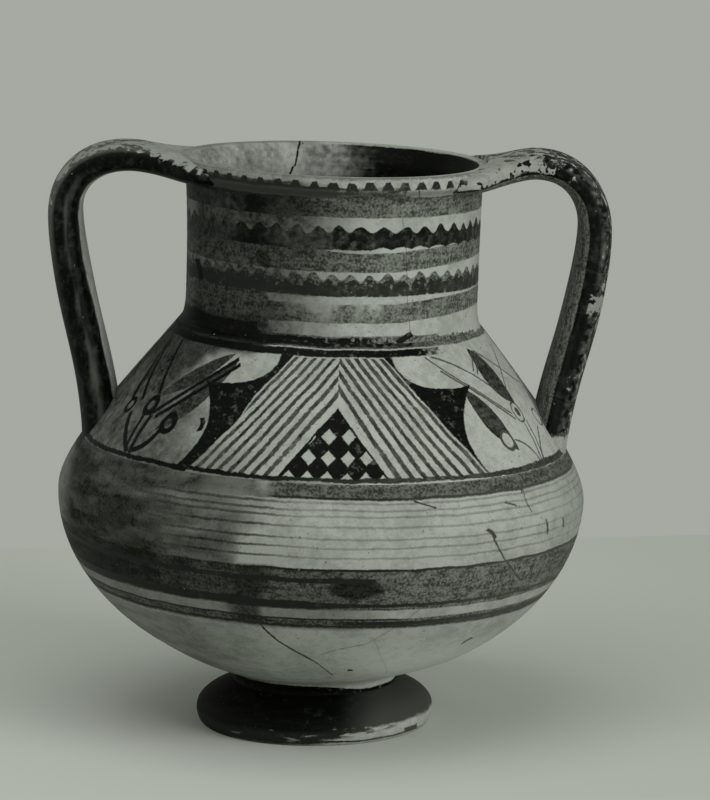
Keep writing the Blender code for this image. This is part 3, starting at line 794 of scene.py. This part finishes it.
def lip_paint(place, inner):
    """Dark humps on the band with the pale clay showing between them, and dark paint under
    them on the left, which thins to bare clay on the right. The top is pale, worn to a dark
    line near its outer edge; the inside is like the neck's, under painted shade and black on
    the right, partly stain and partly a painted shadow."""
    x, y, height = (place.dot(axis) for axis in AXES)
    turn = (-x / y).arctangent()
    radius = (x * x + y * y) ** 0.5
    mottle = place.swing(3.0, 3.0)
    blaze = place.swing(12.0, 2.0)
    saw = abs((turn * 8.594 + 0.54).fract() - 0.5) * 8.9
    hump = 3.1 - saw - (height - 276.6) * 0.55 + blaze * 0.9 + mottle * 0.5
    hump = hump.least(279.9 - height + mottle * 0.6).least(height - LIP_BAND_FOOT)
    hump = hump - ((x - 42) * 0.02 + mottle * 1.2).most(0.0)
    under = height.within(271.6, 277.4).least((4 - x + mottle * 14 + blaze * 14) * 0.04)
    thin = (272.0 - height).most((277.4 - height).least((34 - x + mottle * 16) * 0.2))
    left = (-x - 2 + blaze * 10).ease(-14.0, 24.0) * (1 - (height - 278.4 + mottle).rise(1.2) * 0.6)
    # Inside: painted shade and stain on the wall, and the black on the right, partly a painted shadow.
    black, shade = inside_wall(place, x, y, blaze, mottle)
    black = black.least((281.2 - height) * 2)
    far = front_place(place, behind=True)
    crack = stroke(far, *FAR_LIP_CRACK)
    flat = front_place(place)
    crack = crack.most(stroke(flat, *NEAR_LIP_CRACK))
    far_edge = (radius.near(76.6, 0.7) + mottle * 0.6).least(y * 0.05 - 1).least(height - 280)
    worn_line = (radius.near(76.4, 0.9) + mottle * 0.8).ease(-0.2, 0.5)
    worn_line = worn_line * (height - 280.6).rise(0.6)
    outside = 1 - inner
    dense = hump.most(under).most(far_edge) * outside + inner * black
    dim = (276.9 - height).rise(2) * 0.30
    burn_and_painted_light = (left * 0.95).most(dim).most(worn_line * 0.55) * outside
    burn_and_painted_light = burn_and_painted_light + inner * shade * (RIM_HEIGHT - height).rise(1.2)
    burn_and_painted_light = burn_and_painted_light.most((mottle + 0.1).rise(0.8) * 0.4)
    return dense.most(crack), thin - inner * 9, burn_and_painted_light, outside * (0.12 + dim)


def lip_outline():
    """Out under the lip, up the band, over the rounded corner, across the top and in."""
    neck_top = (NECK_TOP_RADIUS, RIM_SEAM)
    neck_inside = (NECK_TOP_RADIUS - WALL, RIM_SEAM)
    band_foot = (RIM_RADIUS, LIP_BAND_FOOT)
    band_top = (RIM_RADIUS, LIP_BAND_TOP)
    corner_end = (LIP_CORNER_RADIUS, RIM_HEIGHT)
    mouth = (MOUTH_RADIUS, 281.7)
    under = bezier(neck_top, (NECK_TOP_RADIUS, 273.0), (RIM_RADIUS, 274.33), band_foot, 12)
    band = bezier(band_foot, (RIM_RADIUS, 277.3), (RIM_RADIUS, 279.0), band_top, 10)
    corner = bezier(band_top, (RIM_RADIUS, 281.5), (76.8, RIM_HEIGHT), corner_end, 8)
    top = bezier(corner_end, (74.5, 282.05), (73.0, RIM_HEIGHT), mouth, 10)
    inside = bezier(mouth, (70.7, 279.0), (67.0, 276.0), neck_inside, 20)
    return np.concatenate((under, band[1:], corner[1:], top[1:])), inside[1:]


def chipped_lip(turn, radius, height):
    """Small bites out of the lip's outer corner: Gaussian dents at scattered turns."""
    places = np.random.default_rng(12).uniform(0, 2 * np.pi, (BITES, 1, 1))
    depths = np.random.default_rng(13).uniform(0.15, 0.7, (BITES, 1, 1))
    near = np.exp(-(((turn - places) / 0.018) ** 2)) * depths
    corner = np.exp(-(((height - 281.6) / 1.6) ** 2)) * (radius > 74)
    return radius - near.sum(axis=0) * corner, height


turned("lip", *lip_outline(), fired("lip_slip", lip_paint), "pale_clay", "rim", chipped_lip)

# The handles: two broad straps, pulled from a lump of clay, bent while soft from the lip over
# and down to the shoulder, and smeared onto both. Dark slip, paler along the crowns, partly
# worn and partly a painted highlight. The right one broke in three and its lengths are fitted
# together again, a hair's gap at each break.

HANDLE_ELBOW = 251.5
HANDLE_FOOT = 144.0
HANDLE_WIDTH = 46.0
HANDLE_THICK = 18.8
HANDLE_TOP_THICK = 13.0
THICKENING = 1.5
CREST_REACH = 26.0
LEFT_REACH_AND_RISE = (68.1, 4.8)
RIGHT_REACH_AND_RISE = (64.7, 7.6)
STRAP_ROOT_RADIUS = 55.0
STRAP_FULLNESS = 2.8
STRAP_SIDES = 72
STRAP_POINTS = (80, 90, 160)
ELBOW_POINT = STRAP_POINTS[0] + STRAP_POINTS[1] - 2
RIM_SPLAY = 26.0
RIM_SPLAY_START = 12.0
RIM_SPLAY_LENGTH = 14.0
SHOULDER_SPLAY = 5.0
SHOULDER_SPLAY_LENGTH = 12.0
TRIAL_STEPS = 900
BREAK_GAP = 0.3
UPPER_BREAK = HANDLE_ELBOW - 0.160 * (HANDLE_ELBOW - HANDLE_FOOT)
LOWER_BREAK = HANDLE_ELBOW - 0.760 * (HANDLE_ELBOW - HANDLE_FOOT)
BARE_ROOT_HEIGHT = 152.5


def strap_line(reach, rise):
    """A strap's middle line in (radius, height), out of the lip, round the bend and down the
    leg; the length along it at each of its points; and that length at the elbow."""
    top = RIM_HEIGHT + rise - HANDLE_TOP_THICK / 2
    out = NECK_TOP_RADIUS + reach - HANDLE_THICK / 2
    root = (STRAP_ROOT_RADIUS, RIM_HEIGHT - HANDLE_TOP_THICK / 2)
    crest = (NECK_TOP_RADIUS + CREST_REACH, top)
    elbow = (out, HANDLE_ELBOW)
    wall = np.interp(HANDLE_FOOT, outer_side[:, 1], outer_side[:, 0])
    end = (wall - HANDLE_THICK / 2, HANDLE_FOOT - 2 * WALL)
    over, drop, fall = out - crest[0], top - HANDLE_ELBOW, HANDLE_ELBOW - end[1]
    lip_handles = (NECK_TOP_RADIUS, root[1]), (crest[0] - over / 3, top)
    turn_handles = (crest[0] + over * 0.6, top), (out, HANDLE_ELBOW + drop * 0.62)
    leg_handles = (out, HANDLE_ELBOW - fall * 0.28), (end[0], end[1] + fall * 0.3)
    lip_run = bezier(root, *lip_handles, crest, STRAP_POINTS[0])
    turn = bezier(crest, *turn_handles, elbow, STRAP_POINTS[1])
    leg = bezier(elbow, *leg_handles, end, STRAP_POINTS[2])
    line = np.concatenate((lip_run, turn[1:], leg[1:]))
    along = np.concatenate(([0.0], np.cumsum(np.linalg.norm(np.diff(line, axis=0), axis=1))))
    return line, along, float(along[ELBOW_POINT])


def strap_place(side, shape, place, across, through):
    """A strap's surface: its line, plus shares of its half width across and of its half
    thickness square to the line. It splays into the lip as a bell curve and into the shoulder
    as an exponential, and thickens by a smooth step until past the elbow."""
    line, along, elbow = shape
    slope = np.gradient(line, along, axis=0)
    radius, height, outward, upward = (
        np.interp(place, along, values) for values in (*line.T, *slope.T)
    )
    foot_splay = SHOULDER_SPLAY * np.exp((place - along[-1]) / SHOULDER_SPLAY_LENGTH)
    lip_share = np.clip(place - RIM_SPLAY_START, 0, None) / RIM_SPLAY_LENGTH
    half_width = HANDLE_WIDTH / 2 + RIM_SPLAY * np.exp(-(lip_share**2)) + foot_splay
    share = np.clip(place / (elbow * THICKENING), 0, 1)
    thick = HANDLE_TOP_THICK + (HANDLE_THICK - HANDLE_TOP_THICK) * share**2 * (3 - 2 * share)
    uneven = 0.14 * (np.sin(place / 9.0 + 3 * across) + np.sin(place / 23.0 - 2 * across + side) - 2)
    half_thick = thick / 2 + foot_splay / 3 + uneven
    half_width = half_width + 0.25 * (np.sin(place / 14.0 + side) - 1)
    x = side * (radius - upward * through * half_thick)
    return np.stack((x, across * half_width, height + outward * through * half_thick), axis=-1)


def seat_radius(height):
    """A millimetre inside the pot's outside, where the straps are bedded."""
    wall = np.interp(height, outer_side[:, 1], outer_side[:, 0])
    return np.where(height > LIP_BAND_FOOT, RIM_RADIUS, wall) - 1.0


def strap(name, side, shape, first_break, last_break, node, material):
    """A length of strap on rows of rings. Each line along it runs from where it meets the lip,
    or a ragged break, to where it meets the shoulder, or the next break. Each end is closed
    by strips from one face's lines to the other's."""
    line, along = shape[:2]
    angle = 2 * np.pi * (np.arange(STRAP_SIDES) + 0.5) / STRAP_SIDES
    power = 2 / STRAP_FULLNESS
    across, through = (np.sign(part) * abs(part) ** power for part in (np.cos(angle), np.sin(angle)))
    trial = np.linspace(0, along[-1], TRIAL_STEPS)[:, None] * np.ones(STRAP_SIDES)
    corners = strap_place(side, shape, trial, across, through)
    outside = np.hypot(corners[..., 0], corners[..., 1]) > seat_radius(corners[..., 2])
    middle = TRIAL_STEPS // 2
    bedded = ~outside[middle::-1]
    start = np.where(bedded.any(axis=0), trial[middle - np.argmax(bedded, axis=0), 0], 0.0)
    stop = trial[middle + np.argmax(~outside[middle:], axis=0), 0]
    ragged = 0.5 * np.sin(3 * angle + 1) + 0.3 * np.sin(7 * angle) + 0.15 * np.sin(13 * angle + 2)
    leg_drop, leg_along = -line[ELBOW_POINT:, 1], along[ELBOW_POINT:]
    if first_break is not None:
        start = np.interp(-first_break, leg_drop, leg_along) + ragged + BREAK_GAP / 2
    if last_break is not None:
        stop = np.interp(-last_break, leg_drop, leg_along) + ragged - BREAK_GAP / 2
    rows = max(int(float(np.mean(stop - start)) / 0.9), 8)
    share = np.linspace(0, 1, rows)[:, None]
    place = start + (stop - start) * share
    upright = strap_place(side, shape, place, across, through).reshape(-1, 3)
    marks = np.stack((place, across + 0 * place, through + 0 * place), axis=-1).reshape(-1, 3)
    step = np.arange(STRAP_SIDES // 2 - 1)
    facing = STRAP_SIDES - 1 - step
    last = (rows - 1) * STRAP_SIDES
    first_end = np.column_stack((step + 1, step, facing, facing - 1))
    last_end = last + np.column_stack((step, step + 1, facing - 1, facing))
    quads = np.concatenate((loops(rows, STRAP_SIDES, closed=False), first_end, last_end))
    piece(name, upright, quads, [], {"strap": marks}, material, "dark_paint", node)


def strap_paint(place, inner):
    """Dark on the edges and crown and bare beneath; worn to the clay where the top meets the
    lip. A paler streak along the crown is partly wear and partly a painted highlight. The
    left strap is grey over its crest, partly worn and partly painted light on its upper face.
    The right one has a thin grey coat beneath, a painted shade on the face turned from the
    lamp; it is patchy, chipped on its bend and bare at its root."""
    mark = place.node("Attribute", {"attribute_name": "strap"}, {}, "Vector")
    along, across, through = (mark.dot(axis) for axis in AXES)
    right = place.dot((1, 0, 0)) > 0.0
    height = place.dot((0, 0, 1))
    ripple = place.swing(9.0, 3.0)
    chips = place.swing(3.4, 4.0)
    streak = place.swing(5.0, 2.0, (1.0, 1.0, 0.12))
    painted = (through - right * 0.45 + 0.86 + ripple * 0.06) * 8
    rubbed_and_painted_light = (ripple * (14 + right * 14) + chips * (18 + right * 30) + 43 + right * 8 - along) * 0.2
    sway = along / 6.2 + through * 0.9
    dashes = abs(sway.fract() - 0.5) * (1 - right) * (44 - along).rise(8) * 0.6
    crown_side = through - 0.62 + dashes + right * 0.92 + ripple * 0.4 + chips * (1 - right) * 0.5
    rubbed_and_painted_light = rubbed_and_painted_light.least(crown_side * 8)
    # The left strap's crest: paint worn off, and painted light on the upper face.
    crest = (through - 0.45).rise(0.35) * (135 - along).rise(60) * (1 - right)
    rubbed_and_painted_light = rubbed_and_painted_light.most((crest + chips * 0.7 + ripple * 0.6 - 0.80) * 3)
    patches = (chips * 1.8 + ripple * 3.4 + across * 0.6 - 0.22) * 4
    dense = painted.least((-rubbed_and_painted_light).most(patches.least(right * 9 - 1)))
    patch = (0.34 - abs(along - 126) * 0.025).most(0.0)
    specks = (chips - 0.30 + patch + ripple * 0.3 + (through - 0.5) * 0.25) * 5
    specks = specks.least((through - 0.12) * 8).least(right * 9 - 2).least((along - 44) * 0.3)
    dense = dense.least(-specks)
    dense = dense.least((height - BARE_ROOT_HEIGHT + chips * 4) * 0.6 + (1 - right) * 99)
    # Painted shade: a thin grey coat on the right strap's bare inner face, which is turned from the
    # lamp.
    thin = (right * 9 - 1).least(1 - painted)
    # A paler streak along the crown: partly wear, partly a painted highlight on the rounded edge.
    crown = (1 - abs(through + 0.15) * 2.4 + streak).ease(0.3, 1.3) * (along - 62).rise(30)
    crown = crown * (0.50 - right * 0.44) + (chips * 0.3 + ripple * 0.15).most(0.0)
    crown = crown.most(crest * (0.85 + ripple * 0.6 + streak * 0.4))
    edge = (through - 0.15).rise(0.35) * (0.26 + chips * 1.3 + streak * 0.6) * right
    bare = 1 - painted.rise(1)
    burn_and_painted_light = (1 - bare) * 0.90 * (1 - specks.ease(-1.0, 0.4) * 0.7) + bare * 0.09
    burn_and_painted_light = (burn_and_painted_light + streak * 0.10) * (1 - rubbed_and_painted_light.rise(1) * 0.75)
    burn_and_painted_light = burn_and_painted_light * (1 - (BARE_ROOT_HEIGHT - height + chips * 4).rise(2) * right * 0.8)
    return dense, thin, burn_and_painted_light, crown.most(edge)


strap_slip = fired("strap_slip", strap_paint, brushed=(1.6, 1.6, 0.22))
left_shape = strap_line(*LEFT_REACH_AND_RISE)
right_shape = strap_line(*RIGHT_REACH_AND_RISE)
strap("left_strap", -1, left_shape, None, None, "handle_left", strap_slip)
strap("right_strap_bend", 1, right_shape, None, UPPER_BREAK, "handle_right_top", strap_slip)
strap("right_strap_leg", 1, right_shape, UPPER_BREAK, LOWER_BREAK, "handle_right_leg", strap_slip)
strap("right_strap_root", 1, right_shape, LOWER_BREAK, None, "handle_right_root", strap_slip)

# The floor: one pale grey sheet, plain and matt, painted paler to the left and back, a painted
# light that lifts the pot's shadow there. Its far edge is the photograph's low horizon, and the
# wall behind is the sky's colour for the camera.

# From here on, places and sizes are in metres.
floor_mesh = bpy.data.meshes.new("floor")
floor_corners = [(-2.5, -2.5, 0), (2.5, -2.5, 0), (2.5, 0.68, 0), (-2.5, 0.19, 0)]
floor_mesh.from_pydata(floor_corners, [], [(0, 1, 2, 3)])
floor = placed("floor", floor_mesh)
floor_material = bpy.data.materials.new("floor_grey")
floor_material.use_nodes = True
floor_shader = floor_material.node_tree.nodes["Principled BSDF"]
sheet = Slip(floor_material.node_tree).node("TexCoord", {}, {}, "Object")
rightwards = sheet.dot((1, 0, 0)) - sheet.dot((0, 1, 0)) * 0.4
# Painted light: the sheet is paler to the left and back, where the pot's shadow falls.
paper_and_painted_light = (-rightwards).ease(-0.5, 0.35).tint(tone(192), tone(209))
floor_material.node_tree.links.new(paper_and_painted_light.socket, floor_shader.inputs["Base Color"])
floor_shader.inputs["Roughness"].default_value = 0.9
floor_shader.inputs["Specular IOR Level"].default_value = 0.0
floor_mesh.materials.append(floor_material)

# The light: a broad soft lamp in front on the right, a small one low down that lifts the
# bowl's underside, a faint one behind that edges the left, a wide one overhead that keeps the
# floor pale, and a weak one on the left. The camera sees the dim sky as a plain pale wall.

LAMP_TARGET = Vector((0.0, 0.0, 0.12))

world = bpy.data.worlds.new("studio")
bpy.context.scene.world = world
world.use_nodes = True
background = world.node_tree.nodes["Background"]
camera_ray = Slip(world.node_tree).node("LightPath", {}, {}, "Is Camera Ray")
sky = camera_ray.tint(tone(140), tone(168))
world.node_tree.links.new(sky.socket, background.inputs["Color"])
background.inputs["Strength"].default_value = 1.0

# Each lamp's name, power in watts, width and place.
for name, power, size, place in (
    ("right_lamp", 29.5, 1.3, (1.75, -1.5, 1.1)),
    ("low_lamp", 6, 0.7, (1.0, -1.4, 0.14)),
    ("rim_lamp", 1.6, 0.8, (-1.3, 0.55, 0.35)),
    ("overhead_lamp", 13, 1.6, (-0.3, -0.7, 2.0)),
    ("left_lamp", 5, 1.2, (-1.6, -1.3, 0.9)),
):
    lamp_data = bpy.data.lights.new(name, "AREA")
    lamp_data.energy = power
    lamp_data.size = size
    lamp = placed(name, lamp_data)
    lamp.location = place
    lamp.rotation_euler = (LAMP_TARGET - lamp.location).to_track_quat("-Z", "Y").to_euler()

# The camera: the photograph's place and lens, well above the rim and looking slightly down, so
# that the foot stands 318 pixels below the picture's middle at a focal length of 4346 pixels.

CAMERA_PLACE = (0.0122, -2.1208, 0.5286)
down_to_foot = math.atan2(CAMERA_PLACE[2], -CAMERA_PLACE[1])
foot_below_middle = math.atan2(318, 4346)
camera_data = bpy.data.cameras.new("camera")
camera_data.lens = 195.57
camera_data.sensor_width = 36
camera = placed("camera", camera_data)
camera.location = CAMERA_PLACE
camera.rotation_euler = (math.pi / 2 - (down_to_foot - foot_below_middle), 0, 0)
bpy.context.scene.camera = camera
bpy.context.scene.view_settings.view_transform = "Standard"
